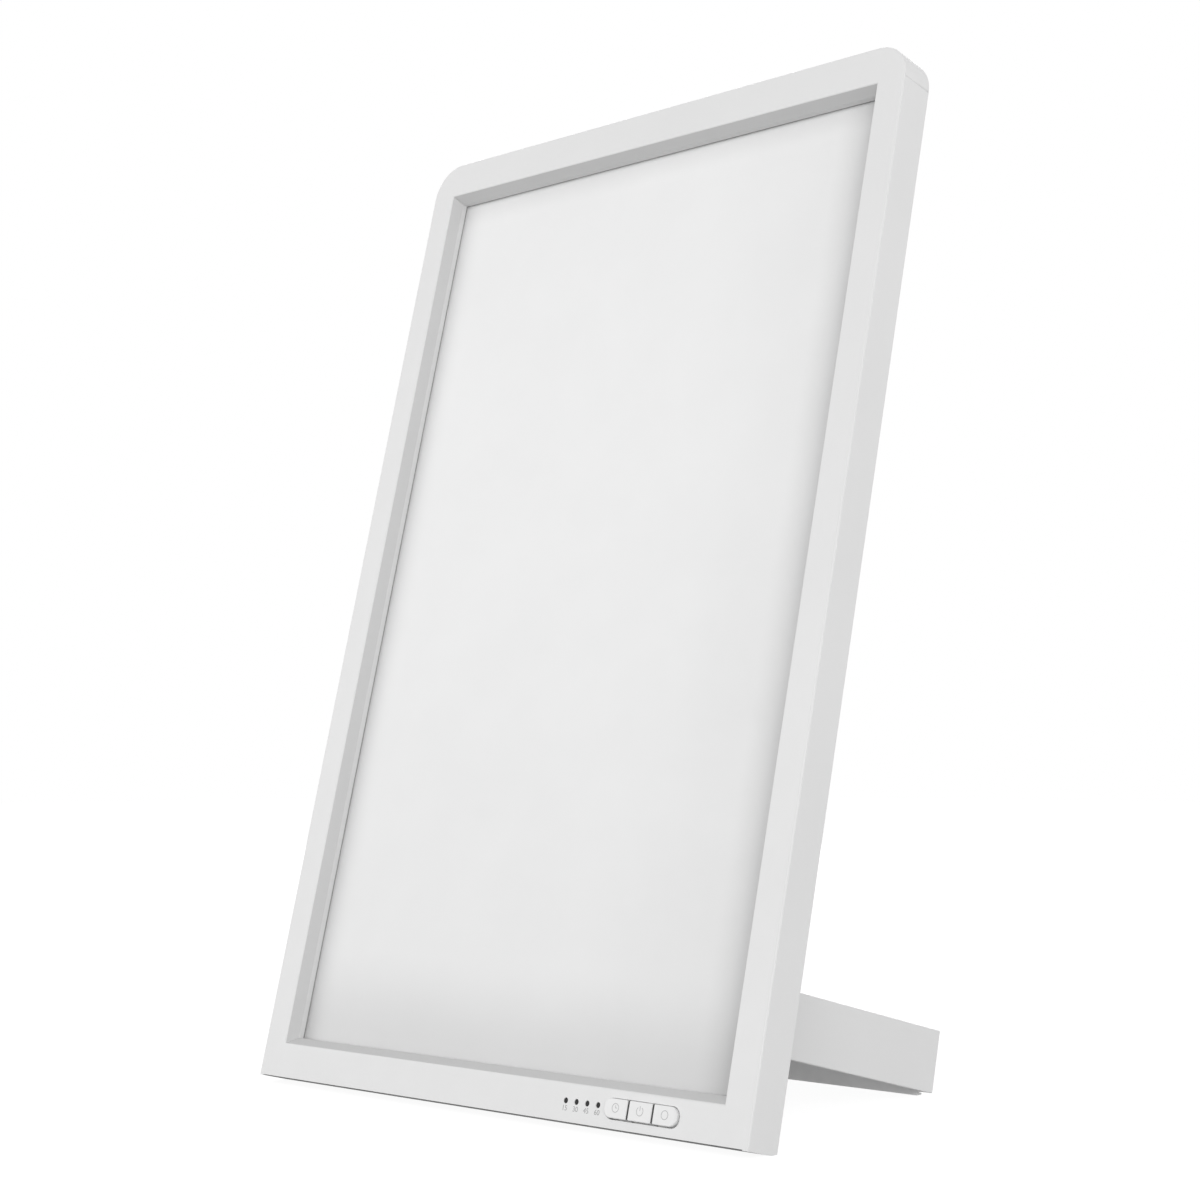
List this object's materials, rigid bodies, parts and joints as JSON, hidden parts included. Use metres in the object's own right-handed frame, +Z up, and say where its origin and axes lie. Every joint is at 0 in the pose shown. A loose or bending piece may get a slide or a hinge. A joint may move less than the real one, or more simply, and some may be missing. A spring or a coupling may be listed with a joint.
{
  "type": "light therapy lamp",
  "caption": "Slim upright light therapy panel in a white frame, leaning back on a fold-out stand, with push buttons and timer indicators.",
  "frame": {"origin": "bottom centre of the lamp's box, on the level it stands on, with the stand folded out", "axes": "+X to the viewer's right, +Y from the lit face backwards, +Z up; the panel leans back 13.8 degrees"},
  "size_m": [0.256, 0.161, 0.3905],
  "materials": {
    "aluminium": "plain drawn aluminium",
    "black_plastic": "moulded black housing",
    "board_green": "solder-masked circuit board",
    "board_white": "white solder-masked aluminium-core strip",
    "clear_acrylic": "clear acrylic with printed dots",
    "copper_winding": "ferrite-potted inductor",
    "dark_lens": "dark tinted light pipe",
    "grey_rubber": "matt soft grip strip",
    "nylon": "natural nylon",
    "opal_acrylic": "opal acrylic sheet with a fine matt face",
    "steel": "zinc-plated steel",
    "white_abs": "fine satin moulded ABS",
    "white_film": "white reflector film",
    "wire_white": "wire insulation"
  },
  "bodies": {
    "root": {"back_cover": "white_abs", "base_strip": "grey_rubber", "board_ribbon": "wire_white", "board_screw_1": "steel", "board_screw_2": "steel", "board_screw_3": "steel", "board_screw_4": "steel", "control_board": "board_green", "control_chip": "black_plastic", "cover_screw_1": "steel", "cover_screw_10": "steel", "cover_screw_2": "steel", "cover_screw_3": "steel", "cover_screw_4": "steel", "cover_screw_5": "steel", "cover_screw_6": "steel", "cover_screw_7": "steel", "cover_screw_8": "steel", "cover_screw_9": "steel", "dc_socket": "black_plastic", "dc_wire_1": "wire_white", "dc_wire_2": "wire_white", "diffuser_panel": "opal_acrylic", "driver_board": "board_green", "driver_capacitor_1": "aluminium", "driver_capacitor_2": "aluminium", "driver_chip_1": "black_plastic", "driver_chip_2": "black_plastic", "driver_inductor": "copper_winding", "front_frame": "white_abs", "heat_sink_left": "aluminium", "heat_sink_right": "aluminium", "indicator_light_pipe": "dark_lens", "led_strip_left": "board_white", "led_strip_right": "board_white", "led_wire_left": "wire_white", "led_wire_right": "wire_white", "light_guide_plate": "clear_acrylic", "reflector_sheet": "white_film", "switch_brightness": "black_plastic", "switch_power": "black_plastic", "switch_timer": "black_plastic", "wire_connector_1": "nylon", "wire_connector_2": "nylon", "wire_connector_3": "nylon"},
    "stand": {"friction_washer_left": "nylon", "friction_washer_right": "nylon", "hinge_pin_left": "steel", "hinge_pin_right": "steel", "stand_foot": "grey_rubber", "stand_shell": "white_abs"},
    "button_brightness": {"button_brightness": "white_abs"},
    "button_power": {"button_power": "white_abs"},
    "button_timer": {"button_timer": "white_abs"}
  },
  "joints": [
    {"name": "stand_fold", "type": "hinge", "parent": "root", "child": "stand", "pos_m": [0, -0.04521, 0.04673], "axis": [1, 0, 0], "range_deg": [0, 90]},
    {"name": "timer_press", "type": "slide", "parent": "root", "child": "button_timer", "axis": [0, 0.9711, -0.2387], "range_m": [0, 0.0004], "stiffness_N_per_m": 2500},
    {"name": "power_press", "type": "slide", "parent": "root", "child": "button_power", "axis": [0, 0.9711, -0.2387], "range_m": [0, 0.0004], "stiffness_N_per_m": 2500},
    {"name": "brightness_press", "type": "slide", "parent": "root", "child": "button_brightness", "axis": [0, 0.9711, -0.2387], "range_m": [0, 0.0004], "stiffness_N_per_m": 2500}
  ]
}
